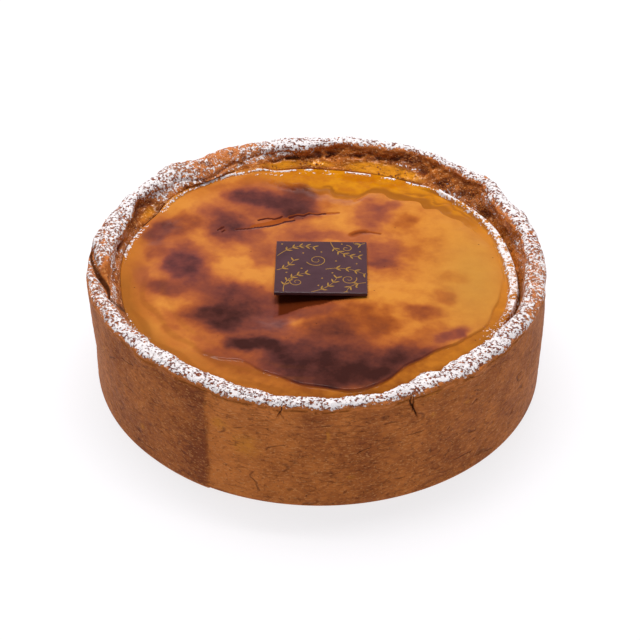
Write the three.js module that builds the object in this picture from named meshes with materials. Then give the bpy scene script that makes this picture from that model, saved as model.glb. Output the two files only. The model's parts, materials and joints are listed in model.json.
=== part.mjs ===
// A whole custard flan: a tall ring of baked pastry filled with custard, whose glazed skin carries a
// square plaque of dark chocolate. Millimetres, +Z up, origin at the middle of the flat base.
// Angles are in degrees round the Z axis: 0 is the right-hand side, 90 the back, 180 the left, 270 the front.
import * as THREE from "three";

// ---- Driving dimensions ----
const CRUST_RADIUS = 99; // outside of the pastry wall at mid height
const CRUST_HEIGHT = 55.5; // mean height of the rim
const POCKET_RADIUS = 93; // inside of the pastry wall, below the rim
const BASE_THICKNESS = 5;
const CUSTARD_RADIUS = 86; // where custard and rim meet, round a centre that lies CUSTARD_SHIFT off
const CUSTARD_SHIFT = 0.8; // towards the left
const CUSTARD_LEVEL = 47; // top of the custard's skin
const SKIN_STEP = 1.4; // the skin stands this much above the gutter of glaze round it
const PLAQUE_SIDE = 40;
const PLAQUE_THICKNESS = 1.6;
const FIT_GAP = 0.35; // clearance between one piece and the next

const { clamp, degToRad, euclideanModulo, lerp, smoothstep } = THREE.MathUtils;

// ---- Forms that come and go round the ring ----
// A form is [angle, half width in degrees, size]: it swells to its size there and fades to both sides.
const degreesFrom = (angle, at) => euclideanModulo(angle - at + 180, 360) - 180;
const fade = (distance, halfWidth) => Math.exp(-((distance / halfWidth) ** 2));
const forms = (angle, list) =>
  list.reduce((sum, [at, half, size]) => sum + size * fade(degreesFrom(angle, at), half), 0);
// A ripple is [waves round the ring, phase, size].
const ripples = (angle, list) =>
  list.reduce((sum, [count, phase, size]) => sum + size * Math.sin(count * degToRad(angle) + phase), 0);
// 1 between two angles, with soft ends.
const span = (angle, from, to, soft) => {
  const half = (to - from) / 2;
  const beyond = Math.abs(degreesFrom(angle, from + half)) - half;
  return 1 - smoothstep(beyond, -soft, soft);
};

// The rim: how far its outer edge stands out, how high its top lies, and how wide it is across.
const RIM_OUT = [
  [180, 40, 0.9], [190, 10, 0.8], [38, 6, 1.4], [21, 6, 0.7], [30, 4, -0.9], [4, 14, -1.3], [134, 5, 1.9],
  [126, 3, -0.7], [228, 24, -1], [320, 20, -0.9], [60, 14, 0.5], [104, 8, 0.5],
];
const RIM_UP = [
  [205, 30, 0.9], [62, 22, 0.9], [276, 22, -0.6], [134, 6, 1.3], [126, 3, -0.8], [38, 6, 0.8],
  [29, 4, -0.8], [20, 5, 0.7], [80, 8, 0.7], [90, 3, -0.9], [98, 5, 0.5], [299, 6, 1], [287, 4, -0.5],
  [322, 16, 0.8],
];
const RIM_WIDTH = 7.8;
const RIM_WIDER = [
  [272, 14, -1.6], [298.5, 4.2, 3.6], [302.3, 1.4, -1.8], [309.5, 5.5, 3.6], [322, 12, 1], [248, 7, 1.1],
  [228, 9, 0.9], [22, 5, 2.2], [96, 6, 2], [58, 15, -2.2], [165, 22, 2.9], [127, 13, 3.8], [192, 9, 1.2],
  [150, 8, -3.6], [352, 12, 1.4],
];
// Here the rim slopes down inwards instead of rounding over.
const RIM_SLOPE = { at: 127, half: 13, more: 0.5, drop: 2.6 };
const RIM_UNEVEN = [[7, 1.3, 0.25], [13, 0.4, 0.22], [29, 2.1, 0.2], [41, 5, 0.15]];
// The inner face is hollow (below 0) or bulges (above 0), and is torn and craggy at the back.
const FACE_BELLY = [
  [150, 9, -1.6], [128, 9, 1.6], [96, 7, -1.6], [70, 12, -1], [45, 8, 0.9], [20, 9, -0.8], [106, 6, 0.7],
];
const CRAGGY = [[60, 24, 1], [36, 12, 0.8], [124, 16, 0.75], [90, 12, 0.6], [10, 12, 0.5]];
const CRAGS = [[23, 0.7, 0.5], [37, 2.9, 0.45], [53, 4.4, 0.3]];
const EDGE_FORMS = [
  [82, 14, -1.6], [165, 10, 1.2], [188, 8, -0.6], [130, 18, 1.2], [250, 30, 0.6], [350, 14, 1.2],
  [25, 13, 1.4],
];
// At the right the custard has drawn away from the crust.
const GROOVE = { from: -22, to: 54, depth: 2.6, back: 1.32, soft: 6 };
const CLIMB = { from: 107, to: 145, height: 3.2, soft: 4 }; // here the custard has crept up the crust
// The pastry has split where it folds over at the left, and at the front where a flap of it overlaps.
const FOLD = { from: 174, to: 199, depth: 2.6, halfWidth: 0.25, soft: 2.5 };
const CRACKS = [
  { at: 261, low: 45, depth: 1.3 },
  { at: 292.5, low: 42, depth: 1.9 },
];
const CRACK_HALF_WIDTH = 0.8; // degrees
const FLAP = { at: 297, half: 4.5, height: 50, tall: 6, size: 1 }; // the dough that stands out past the crack
const SEAM = { at: 243, size: 0.6, fades: 17 }; // the strip of dough ends here, lapped over its other end

// The custard's skin ends in a step: its edge lies this far from the middle.
const SKIN_RADIUS = 78;
const SKIN_REACH = [
  [37, 5, -4], [47, 5, -7], [54, 3, -5], [60, 4, -8], [70, 9, -8], [80, 7, -13], [92, 12, -12], [195, 26, -2],
  [245, 15, -9.5], [283, 7, 3.5], [304, 14, -4.5], [316, 8, -3], [348, 14, 2], [14, 12, 2],
];
const SKIN_UNEVEN = [[9, 0.8, 0.5], [17, 2.6, 0.5], [26, 1.1, 0.4]];
// How sharp that step is, from 0 to 1, round the ring; elsewhere the skin slopes softly down.
const STEP_SHARP = [[281, 28, 0.9], [318, 24, 0.6], [346, 12, 0.35], [52, 22, 0.8], [245, 18, 0.2]];
// Dips and swells of the skin: [x, y, radius, height].
const SKIN_RELIEF = [
  [-18, -25, 13, -2.2], [22, -17, 12, 1], [-20, 34, 16, -0.7], [18, 44, 12, 0.5], [38, -18, 26, 0.4],
  [-48, 8, 20, 0.3], [6, -58, 18, 0.3], [-45, -42, 14, -0.3], [52, 26, 16, -0.3],
];
// The lip of dried skin that stands at the right, beyond the groove. The groove and the top of the lip are
// base wide, and more wide at one angle.
const LIP = {
  height: 2.1,
  groove: { base: 0.35, more: 0.5, at: 27, half: 17 },
  top: { base: 2.1, more: 2.6, at: 4, half: 26 },
  falls: 1.3,
};

// ---- A turned solid whose section changes round the axis ----
// A lathe gives the faces, and each of its points then moves to its place in the section at that angle.
function turned(section, angles) {
  const rows = section(angles[0]).map(([radius, height]) => new THREE.Vector2(radius, height));
  const lathe = new THREE.LatheGeometry(rows, angles.length);
  const position = lathe.getAttribute("position");
  for (let column = 0; column <= angles.length; column++) {
    const angle = angles[column % angles.length];
    section(angle).forEach(([radius, height], row) => {
      const x = radius * Math.cos(degToRad(angle));
      const y = radius * Math.sin(degToRad(angle));
      position.setXYZ(column * rows.length + row, x, y, height);
    });
  }
  return lathe;
}

const evenAngles = (count) => Array.from({ length: count }, (_, i) => (i * 360) / count);

// ---- Pastry crust ----
const WALL_ROWS = [2, 9, 18, 27, 35, 41, 46];
const RIM_ROWS = 11; // across the rounded top of the rim
const BEAD_HEIGHT = 3.4; // of that rounding
const FACE_ROWS = 4; // between the rim and the custard
const CORNER = 1.2; // rounding at the foot of the wall
const POCKET_DROP = 6; // from the edge of the custard to where the pocket has its full width

function crackAt(angle, height) {
  return CRACKS.reduce((sum, { at, low, depth }) => {
    const open = smoothstep(height, low, low + 9);
    return sum + depth * open * Math.max(0, 1 - Math.abs(degreesFrom(angle, at)) / CRACK_HALF_WIDTH);
  }, 0);
}

// The lapped end of the strip: it stands out at the seam and thins away to the left of it.
function lapAt(angle) {
  const before = -degreesFrom(angle, SEAM.at);
  return before < 0 ? 0 : SEAM.size * Math.max(0, 1 - before / SEAM.fades);
}

function rimAt(angle) {
  const outer = CRUST_RADIUS + 0.4 + forms(angle, RIM_OUT) + ripples(angle, RIM_UNEVEN);
  const width = RIM_WIDTH + forms(angle, RIM_WIDER) + ripples(angle + 40, RIM_UNEVEN);
  const top = CRUST_HEIGHT + forms(angle, RIM_UP) + ripples(angle + 80, RIM_UNEVEN);
  return { outer, inner: outer - width, top };
}

const grooveAt = (angle) => span(angle, GROOVE.from, GROOVE.to, GROOVE.soft);

const climbAt = (angle) => CLIMB.height * span(angle, CLIMB.from, CLIMB.to, CLIMB.soft);

// Where the crust's inner face ends and the custard begins.
function meetingAt(angle) {
  const drawn = grooveAt(angle);
  const round = CUSTARD_RADIUS - CUSTARD_SHIFT * Math.cos(degToRad(angle));
  return {
    radius: round + GROOVE.back * drawn + forms(angle, EDGE_FORMS),
    height: CUSTARD_LEVEL - SKIN_STEP - GROOVE.depth * drawn + climbAt(angle),
  };
}

// Outside of the wall: nearly upright, a little fuller below the rim, with shallow waves.
function wallRadius(angle, height) {
  const share = height / CRUST_HEIGHT;
  const turn = degToRad(angle);
  const waves = 0.35 * Math.sin(3 * turn + 5 * share) + 0.2 * Math.sin(8 * turn - 4 * share);
  const lean = 0.6 * (share - 0.5) + forms(angle, RIM_OUT) * share ** 2;
  const flapHere = fade(degreesFrom(angle, FLAP.at), FLAP.half) * fade(height - FLAP.height, FLAP.tall);
  const flap = FLAP.size * flapHere;
  const uneven = lean + waves * Math.sin(Math.PI * share) + flap;
  return CRUST_RADIUS + uneven + lapAt(angle) - crackAt(angle, height);
}

function rimPoint(angle, share) {
  const rim = rimAt(angle);
  const turn = Math.PI * share;
  const across = (1 - Math.cos(turn)) / 2;
  const { from, to, depth, halfWidth, soft } = FOLD;
  const foldPlace = degreesFrom(angle, from) / (to - from);
  const split = depth * fade(across - foldPlace, halfWidth) * span(angle, from, to, soft);
  const sloping = fade(degreesFrom(angle, RIM_SLOPE.at), RIM_SLOPE.half);
  const roundness = 0.75 + (across > 0.5 ? RIM_SLOPE.more * sloping : 0);
  const rounding = BEAD_HEIGHT * (Math.sin(turn) ** roundness - 1);
  const drop = RIM_SLOPE.drop * sloping * smoothstep(across, 0.2, 1);
  return [lerp(rim.outer, rim.inner, across), rim.top + rounding - drop - split];
}

function crustSection(angle) {
  const foot = wallRadius(angle, 0);
  const bottom = [[0, 0], [foot - CORNER, 0], [foot - CORNER * 0.3, CORNER * 0.3]];
  const wall = WALL_ROWS.map((height) => [wallRadius(angle, height), height]);
  const rim = Array.from({ length: RIM_ROWS }, (_, i) => rimPoint(angle, i / (RIM_ROWS - 1)));
  const [innerRadius, innerHeight] = rim.at(-1);
  const meeting = meetingAt(angle);
  const face = Array.from({ length: FACE_ROWS }, (_, i) => {
    const share = (i + 1) / (FACE_ROWS + 1);
    const crag = clamp(forms(angle, CRAGGY), 0, 1) * ripples(angle + 60 * i, CRAGS);
    const belly = (forms(angle, FACE_BELLY) + crag) * Math.sin(Math.PI * share);
    return [lerp(innerRadius, meeting.radius, share) - belly, lerp(innerHeight, meeting.height, share)];
  });
  const pocket = [
    [meeting.radius, meeting.height],
    [POCKET_RADIUS, meeting.height - POCKET_DROP],
    [POCKET_RADIUS, BASE_THICKNESS],
    [0, BASE_THICKNESS],
  ];
  return [...bottom, ...wall, ...rim, ...face, ...pocket];
}

// Even columns, with finer ones where the fold, the cracks and the seam need them.
function crustAngles() {
  const sharp = CRACKS.flatMap(({ at }) => [at - CRACK_HALF_WIDTH, at, at + CRACK_HALF_WIDTH]);
  sharp.push(SEAM.at, SEAM.at + 0.6);
  const clear = (angle) => sharp.every((at) => Math.abs(degreesFrom(angle, at)) > 0.5);
  const nearFold = (angle) => angle > FOLD.from - 4 && angle < FOLD.to + 4;
  const wanted = evenAngles(264).filter((angle, i) => i % 2 === 0 || nearFold(angle));
  return [...wanted.filter(clear), ...sharp].sort((a, b) => a - b);
}

function makeCrust() {
  const pastry = new THREE.MeshStandardMaterial({ color: 0x99602f, roughness: 0.8, metalness: 0 });
  const crust = new THREE.Mesh(turned(crustSection, crustAngles()), pastry);
  crust.name = "crust";
  return crust;
}

// ---- Custard filling ----
const STEP_ROWS = [0.6, -0.8, -3, -6]; // distances from the skin's edge
const SKIN_ROWS = [0.87, 0.74, 0.61, 0.48, 0.35, 0.18]; // shares of what is left of the skin's radius

const lipWidth = ({ base, more, at, half }, angle) => base + more * fade(degreesFrom(angle, at), half);

// Distances inwards from the custard's edge: the groove's inner side, and both sides of the lip's top.
function lipAt(angle) {
  const groove = lipWidth(LIP.groove, angle);
  const top = groove + lipWidth(LIP.top, angle);
  return { groove, top, foot: top + LIP.falls };
}

const SKIN_CLEAR = 0.7; // the skin ends at least this far inside the lip
function skinEdge(angle, edge) {
  const wanted = SKIN_RADIUS + forms(angle, SKIN_REACH) + ripples(angle, SKIN_UNEVEN);
  return Math.min(edge - lipAt(angle).foot - SKIN_CLEAR, wanted);
}

function topHeight(angle, radius, edge) {
  const x = radius * Math.cos(degToRad(angle));
  const y = radius * Math.sin(degToRad(angle));
  const relief = SKIN_RELIEF.reduce(
    (sum, [atX, atY, size, height]) => sum + height * fade(Math.hypot(x - atX, y - atY), size), 0);
  const inwards = edge - radius;
  const past = radius - skinEdge(angle, edge);
  const sharp = clamp(forms(angle, STEP_SHARP), 0, 1);
  const drop = SKIN_STEP * (sharp * smoothstep(past, -0.8, 0.6) + (1 - sharp) * smoothstep(past, -9, 5));
  const lip = grooveAt(angle);
  const { groove, top } = lipAt(angle);
  const stands = smoothstep(inwards, groove - 0.4, groove + 0.8);
  const falls = 1 - smoothstep(inwards, top - 0.5, top - 0.5 + LIP.falls);
  const lipHeight = lip * (LIP.height * stands * falls - GROOVE.depth * (1 - stands));
  // Up the crust the custard rises gently at first, and steeply over the last millimetre.
  const climb = 0.55 * (1 - smoothstep(inwards, 0, 20)) + 0.45 * fade(Math.max(inwards, 0), 1.1);
  return CUSTARD_LEVEL + relief * (1 - smoothstep(past, -4, 3)) - drop + lipHeight + climb * climbAt(angle);
}

function custardSection(angle) {
  const meeting = meetingAt(angle);
  const side = POCKET_RADIUS - FIT_GAP;
  const edge = meeting.radius - FIT_GAP - 0.15;
  const skin = skinEdge(angle, edge);
  const { groove, top, foot } = lipAt(angle);
  const inside = [
    [0, BASE_THICKNESS + FIT_GAP],
    [side, BASE_THICKNESS + FIT_GAP],
    [side, meeting.height - POCKET_DROP - 0.2],
  ];
  const lip = [0, Math.max(0.1, groove - 0.4), groove + 0.8, top - 0.5, foot - 0.5];
  const border = lip.map((inwards) => edge - inwards);
  const step = STEP_ROWS.map((beyond) => skin + beyond);
  const plateau = SKIN_ROWS.map((share) => step.at(-1) * share);
  const upper = [...border, ...step, ...plateau].map((radius) => [radius, topHeight(angle, radius, edge)]);
  return [...inside, ...upper, [0, topHeight(0, 0, edge)]];
}

function makeCustard() {
  const glazed = new THREE.MeshStandardMaterial({ color: 0xc9782d, roughness: 0.25, metalness: 0 });
  const custard = new THREE.Mesh(turned(custardSection, evenAngles(108)), glazed);
  custard.name = "custard";
  return custard;
}

// ---- Chocolate plaque ----
const PLAQUE_AT = { x: 1, y: 0.8, turn: -0.4, lean: 2 }; // its front edge is the higher one
const PLAQUE_EDGE = 0.3; // rounding of its edges
const PLAQUE_LIFT = 1.2; // the middle of its underside above the skin's level

function makePlaque() {
  const half = PLAQUE_SIDE / 2 - PLAQUE_EDGE;
  const outline = new THREE.Shape([
    new THREE.Vector2(-half, -half),
    new THREE.Vector2(half, -half),
    new THREE.Vector2(half, half),
    new THREE.Vector2(-half, half),
  ]);
  const slab = new THREE.ExtrudeGeometry(outline, {
    depth: PLAQUE_THICKNESS - 2 * PLAQUE_EDGE,
    bevelThickness: PLAQUE_EDGE,
    bevelSize: PLAQUE_EDGE,
    bevelSegments: 2,
  });
  const chocolate = new THREE.MeshStandardMaterial({ color: 0x3d2220, roughness: 0.4, metalness: 0 });
  const plaque = new THREE.Mesh(slab, chocolate);
  plaque.name = "chocolate_plaque";
  plaque.position.set(PLAQUE_AT.x, PLAQUE_AT.y, CUSTARD_LEVEL + PLAQUE_LIFT + PLAQUE_EDGE);
  plaque.rotation.set(degToRad(-PLAQUE_AT.lean), 0, degToRad(PLAQUE_AT.turn));
  return plaque;
}

const flan = new THREE.Group();
flan.add(makeCrust(), makeCustard(), makePlaque());

export default flan;
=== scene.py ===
# A whole custard flan: a tall ring of baked pastry filled with custard under a browned and glazed skin,
# with icing sugar on its rim and a square plaque of dark chocolate. Lengths are in mm until a mesh is
# made of them, and angles in degrees round the Z axis: 0 is the right-hand side, and 90 the back.
import json

import bpy
import numpy as np
from mathutils import Matrix, Vector, noise

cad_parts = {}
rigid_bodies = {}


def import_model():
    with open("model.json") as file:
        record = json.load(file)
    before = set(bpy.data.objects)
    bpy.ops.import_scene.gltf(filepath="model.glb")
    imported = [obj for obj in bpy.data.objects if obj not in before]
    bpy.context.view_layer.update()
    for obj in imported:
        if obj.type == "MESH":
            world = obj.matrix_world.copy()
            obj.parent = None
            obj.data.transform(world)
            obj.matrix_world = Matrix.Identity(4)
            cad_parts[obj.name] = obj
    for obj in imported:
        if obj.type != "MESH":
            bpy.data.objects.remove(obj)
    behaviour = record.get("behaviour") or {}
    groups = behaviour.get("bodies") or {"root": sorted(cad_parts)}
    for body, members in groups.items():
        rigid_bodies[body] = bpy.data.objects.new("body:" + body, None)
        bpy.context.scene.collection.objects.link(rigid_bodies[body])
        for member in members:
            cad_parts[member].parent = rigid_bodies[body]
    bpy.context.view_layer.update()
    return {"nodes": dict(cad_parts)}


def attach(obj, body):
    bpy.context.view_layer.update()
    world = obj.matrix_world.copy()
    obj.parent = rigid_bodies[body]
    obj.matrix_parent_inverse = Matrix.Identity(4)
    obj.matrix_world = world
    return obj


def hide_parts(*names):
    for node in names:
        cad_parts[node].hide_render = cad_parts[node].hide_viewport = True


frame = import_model()

# ---- Pastry crust ----
# A strip of sweet shortcrust is pressed round the inside of a ring, on a round base of the same dough,
# and baked brown. Its end laps over its start at the front left. The rim has rolled inwards, folded over
# at the left and cracked at the front, and it is torn and glazed by the custard at the back.
MM = 0.001
CRUST_RADIUS = 99
CRUST_HEIGHT = 55.5
POCKET_RADIUS = 93
POCKET_DROP = 6  # from the custard's edge to where the pocket is widest
BASE_THICKNESS = 5
FOOT_ROUNDING = 1.2
FOOT_SHARES = (0.4, 0.8, 0.96)  # rings of the underside
FOOT_TURNS = (0, 30, 60, 90)  # rings of the rounding round it
RIM_OVERHANG = 0.4
RIM_WIDTH = 7.8
RIM_BEAD = 3.4  # height of the rounding on top of the rim
RIM_ROUNDNESS = 0.75  # below 1 the rounding is fuller than half an ellipse
CUSTARD_RADIUS = 86
CUSTARD_SHIFT = 0.8
CUSTARD_LEVEL = 47
SKIN_STEP = 1.4

# A form is (angle, half width in degrees, size in mm), and a ripple (waves round the ring, phase, size).
# These say how far out the rim stands, how high it is, and how wide.
RIM_OUT = (
    (180, 40, 0.9), (190, 10, 0.8), (38, 6, 1.4), (21, 6, 0.7), (30, 4, -0.9), (4, 14, -1.3),
    (134, 5, 1.9), (126, 3, -0.7), (228, 24, -1), (320, 20, -0.9), (60, 14, 0.5), (104, 8, 0.5),
)
RIM_UP = (
    (205, 30, 0.9), (62, 22, 0.9), (276, 22, -0.6), (134, 6, 1.3), (126, 3, -0.8), (38, 6, 0.8),
    (29, 4, -0.8), (20, 5, 0.7), (80, 8, 0.7), (90, 3, -0.9), (98, 5, 0.5), (299, 6, 1), (287, 4, -0.5),
    (322, 16, 0.8),
)
RIM_WIDER = (
    (272, 14, -1.6), (298.5, 4.2, 3.6), (302.3, 1.4, -1.8), (309.5, 5.5, 3.6), (322, 12, 1),
    (248, 7, 1.1), (228, 9, 0.9), (22, 5, 2.2), (96, 6, 2), (58, 15, -2.2), (165, 22, 2.9),
    (127, 13, 3.8), (192, 9, 1.2), (150, 8, -3.6), (352, 12, 1.4),
)
# Here the rim slopes down to the custard instead of rounding over.
RIM_SLOPE = {"at": 127, "half": 13, "more": 0.5, "drop": 2.6}
RIM_UNEVEN = ((7, 1.3, 0.25), (13, 0.4, 0.22), (29, 2.1, 0.2), (41, 5, 0.15))
FACE_BELLY = (
    (150, 9, -1.6), (128, 9, 1.6), (96, 7, -1.6), (70, 12, -1), (45, 8, 0.9), (20, 9, -0.8),
    (106, 6, 0.7),
)
EDGE_FORMS = (
    (82, 14, -1.6), (165, 10, 1.2), (188, 8, -0.6), (130, 18, 1.2), (250, 30, 0.6), (350, 14, 1.2),
    (25, 13, 1.4),
)
WALL_WAVES = ((3, 5, 0.35), (8, -4, 0.2))  # each (waves round the ring, drift up the wall, size)
WALL_LEAN = 0.6  # the top of the wall stands this much further out than its foot
WALL_MEETS_RIM = (44, 54)  # between these heights the wall swells out to the rim
# At the right the custard has drawn back from the crust and left a groove.
GROOVE = {"start": -22, "stop": 54, "depth": 2.6, "back": 1.32, "soft": 6}
# Here the custard has crept up the crust: a steep film at the crust, and a rise that spreads inwards.
CLIMB = {"start": 107, "stop": 145, "height": 3.2, "soft": 4, "steep": 0.45, "film": 1.1, "spreads": 20}
FOLD = {"start": 174, "stop": 199, "depth": 2.6, "half": 0.25, "slit": 1.4, "slit_half": 0.08, "soft": 2.5}
FLAP = {"at": 297, "half": 4.5, "height": 50, "tall": 6, "size": 1}
SEAM = {"at": 243, "size": 0.6, "fades": 17}
# Each crack runs up to the rim through these (angle, height) places, and opens over its first few mm.
CRACKS = (
    {"depth": 1.2, "half": 0.2, "path": ((259.9, 44.9), (260.8, 48.5), (261.8, 52.1), (261.5, 56))},
    {
        "depth": 1.5, "half": 0.22,
        "path": ((295.8, 39.4), (293.9, 42), (292.6, 47.7), (291.9, 50.4), (292.1, 56.4)),
    },
    {"depth": 0.9, "half": 0.16, "path": ((290.6, 43.5), (291.4, 45.6), (292.4, 46.8), (292.6, 48))},
)
CRACK_OPENS = 6
CRACKS_END = (53, 55.5)  # between these heights the sugar on the rim closes them


def from_angle(angle, at):
    return (angle - at + 180) % 360 - 180


def fade(distance, half):
    return np.exp(-((distance / half) ** 2))


def forms(angle, table):
    return sum(size * fade(from_angle(angle, at), half) for at, half, size in table)


def ripples(angle, table):
    return sum(size * np.sin(count * np.radians(angle) + phase) for count, phase, size in table)


def rise(value, low, high):
    share = np.clip((value - low) / (high - low), 0, 1)
    return share * share * (3 - 2 * share)


def span(angle, start, stop, soft):
    half = (stop - start) / 2
    return 1 - rise(np.abs(from_angle(angle, start + half)) - half, -soft, soft)


def mix(a, b, share):
    return a + (b - a) * share


def cloud(grid, size, octaves=3):
    """Uneven values of about -1 to 1 at the places of a grid, whose lumps are this size in mm."""
    points = (grid / size).reshape(-1, 3).tolist()
    values = np.array([noise.fractal(Vector(p), 1.0, 2.0, octaves) for p in points])
    return values.reshape(grid.shape[:-1])


def rim_at(angle):
    outer = CRUST_RADIUS + RIM_OVERHANG + forms(angle, RIM_OUT) + ripples(angle, RIM_UNEVEN)
    width = RIM_WIDTH + forms(angle, RIM_WIDER) + ripples(angle + 40, RIM_UNEVEN)
    top = CRUST_HEIGHT + forms(angle, RIM_UP) + ripples(angle + 80, RIM_UNEVEN)
    return outer, outer - width, top


def groove_at(angle):
    return span(angle, GROOVE["start"], GROOVE["stop"], GROOVE["soft"])


def climb_at(angle):
    return CLIMB["height"] * span(angle, CLIMB["start"], CLIMB["stop"], CLIMB["soft"])


def meeting_at(angle):
    """Where the inner face of the crust ends and the custard begins."""
    drawn_back = groove_at(angle)
    radius = CUSTARD_RADIUS - CUSTARD_SHIFT * np.cos(np.radians(angle)) + GROOVE["back"] * drawn_back
    height = CUSTARD_LEVEL - SKIN_STEP - GROOVE["depth"] * drawn_back + climb_at(angle)
    return radius + forms(angle, EDGE_FORMS), height


def wall_radius(angle, height):
    share = height / CRUST_HEIGHT
    turn = np.radians(angle)
    waves = sum(size * np.sin(count * turn + drift * share) for count, drift, size in WALL_WAVES)
    lean = WALL_LEAN * (share - 0.5) + forms(angle, RIM_OUT) * share**2
    flap = FLAP["size"] * fade(from_angle(angle, FLAP["at"]), FLAP["half"])
    flap = flap * fade(height - FLAP["height"], FLAP["tall"])
    before = -from_angle(angle, SEAM["at"])
    lap = np.where(before < 0, 0, SEAM["size"] * np.clip(1 - before / SEAM["fades"], 0, 1))
    return CRUST_RADIUS + lean + waves * np.sin(np.pi * share) + flap + lap


def crack_depth(angle, height):
    """How far the cracks open inwards, and how dark their painted shade is (0 to 1), at places of the wall.
    """
    depth, dark = 0, 0
    for crack in CRACKS:
        angles, heights = zip(*crack["path"])
        away = np.abs(from_angle(angle, np.interp(height, heights, angles)))
        down = rise(height, heights[0], heights[0] + CRACK_OPENS) * (1 - rise(height, *CRACKS_END))
        depth = depth + crack["depth"] * down * fade(away, crack["half"])
        dark = np.maximum(dark, down * fade(away, crack["half"]))
    return depth, dark


# Columns stand closer together where the cracks, the fold and the front of the wall need them.
COLUMNS = 860
WALL_ROWS = 54
RIM_ROWS = 30
FACE_ROWS = 16
CLOSER = ((258, 263, 5), (290, 297, 4), (170, 200, 1), (200, 340, 0.35))


def crust_angles():
    fine = np.linspace(0, 360, 7201)
    weight = 1 + sum(more * span(fine, start, stop, 1) for start, stop, more in CLOSER)
    total = np.concatenate([[0], np.cumsum((weight[1:] + weight[:-1]) / 2)])
    return np.interp(np.arange(COLUMNS) / COLUMNS, total / total[-1], fine)


def fold_away(angle, across):
    """How far a place of the rim is from the fold's line, and how much of the fold there is at this angle."""
    line = from_angle(angle, FOLD["start"]) / (FOLD["stop"] - FOLD["start"])
    return across - line, span(angle, FOLD["start"], FOLD["stop"], FOLD["soft"])


def crust_rows(angle):
    """Radius and height of the rows of the section, one column of the result for each row."""
    foot = wall_radius(angle, 0)
    radii, heights = [], []

    def add(radius, height):
        radii.append(radius + 0 * angle)
        heights.append(height + 0 * angle)

    for share in FOOT_SHARES:
        add((foot - FOOT_ROUNDING) * share, 0)
    for turn in np.radians(FOOT_TURNS):
        add(foot - FOOT_ROUNDING * (1 - np.sin(turn)), FOOT_ROUNDING * (1 - np.cos(turn)))
    outer, inner, top = rim_at(angle)
    shoulder = top - RIM_BEAD
    for share in np.linspace(0, 1, WALL_ROWS + 1)[1:]:
        height = mix(FOOT_ROUNDING, shoulder, share)
        radius = mix(wall_radius(angle, height), outer, rise(height, *WALL_MEETS_RIM))
        add(radius - crack_depth(angle, height)[0], height)
    slope = fade(from_angle(angle, RIM_SLOPE["at"]), RIM_SLOPE["half"])
    drop = RIM_SLOPE["drop"] * slope
    for share in np.linspace(0, 1, RIM_ROWS):
        turn = np.pi * share
        across = (1 - np.cos(turn)) / 2
        roundness = RIM_ROUNDNESS + (RIM_SLOPE["more"] * slope if across > 0.5 else 0)
        away, along = fold_away(angle, across)
        split = FOLD["depth"] * fade(away, FOLD["half"]) + FOLD["slit"] * fade(away, FOLD["slit_half"])
        split = split * along
        rounding = RIM_BEAD * np.sin(turn) ** roundness
        add(mix(outer, inner, across), shoulder + rounding - drop * rise(across, 0.2, 1) - split)
    edge, edge_height = meeting_at(angle)
    for share in np.linspace(0, 1, FACE_ROWS + 1)[1:]:
        belly = forms(angle, FACE_BELLY) * np.sin(np.pi * share)
        add(mix(inner, edge, share) - belly, mix(shoulder - drop, edge_height, share))
    add(POCKET_RADIUS, edge_height - POCKET_DROP)
    add(POCKET_RADIUS, BASE_THICKNESS)
    return np.stack(radii, 1), np.stack(heights, 1)


def grid_of(radii, heights, angles):
    turn = np.radians(angles)[:, None]
    return np.stack([radii * np.cos(turn), radii * np.sin(turn), heights], 2)


def placed(name, data):
    thing = bpy.data.objects.new(name, data)
    bpy.context.scene.collection.objects.link(thing)
    return thing


def turned(name, radii, heights, angles, first_height, last_height, numbers):
    """A closed mesh of rings, one for each row, with a point on the axis at both ends. numbers holds the
    values that its material reads, one for each place of the grid."""
    columns, rows = radii.shape
    grid = grid_of(radii, heights, angles).reshape(-1, 3)
    points = np.concatenate([grid, [[0, 0, first_height], [0, 0, last_height]]])
    start, end = columns * rows, columns * rows + 1
    here = np.arange(columns)
    there = (here + 1) % columns
    faces = []
    for row in range(rows - 1):
        a, b = here * rows + row, there * rows + row
        faces.append(np.stack([a, b, b + 1, a + 1], 1))
    faces = np.concatenate(faces)
    caps = [(start, b * rows, a * rows) for a, b in zip(here.tolist(), there.tolist())]
    caps += [(end, a * rows + rows - 1, b * rows + rows - 1) for a, b in zip(here.tolist(), there.tolist())]
    mesh = bpy.data.meshes.new(name)
    mesh.from_pydata((points * MM).tolist(), [], faces.tolist() + caps)
    for label, values in numbers.items():
        attribute = mesh.attributes.new(label, "FLOAT", "POINT")
        everywhere = np.broadcast_to(values, (columns, rows)).reshape(-1)
        attribute.data.foreach_set("value", np.append(everywhere, [0, 0]).astype(np.float32))
    mesh.shade_smooth()
    return mesh


def grid_normals(grid):
    """Outward direction at every place of a turned grid."""
    round_way = np.roll(grid, -1, 0) - np.roll(grid, 1, 0)
    section_way = np.gradient(grid, axis=1)
    normal = np.cross(round_way, section_way)
    return normal / np.maximum(np.linalg.norm(normal, axis=2, keepdims=True), 1e-9)


# Browner and paler bands of the wall: (angle, half width in degrees, how much paler).
WALL_TONE = (
    (222, 7, -0.2), (262, 5, 0.25), (275, 6, 0.05), (291, 4, 0.2), (183, 9, 0.42), (310, 10, -0.1),
    (268, 3, -0.25), (282, 3, -0.2),
)
# The wall just before the seam and just past it: how far past, half width, how much paler.
SEAM_TONES = ((-1.5, 5.5, -0.74), (5, 9, 0.6))
# Yellow places where the dough has stayed pale: (angle, height, half width in degrees, half height in mm).
YELLOW = (
    (222, 15, 1.6, 2.4), (278, 16, 1.8, 1.6), (205, 38, 1, 3), (308, 40, 1.6, 1.6), (272.5, 39, 0.8, 5),
    (298, 41, 1.4, 2), (253, 30, 5, 9), (246, 38, 3, 4), (298, 52.5, 4, 1.6),
)
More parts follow.
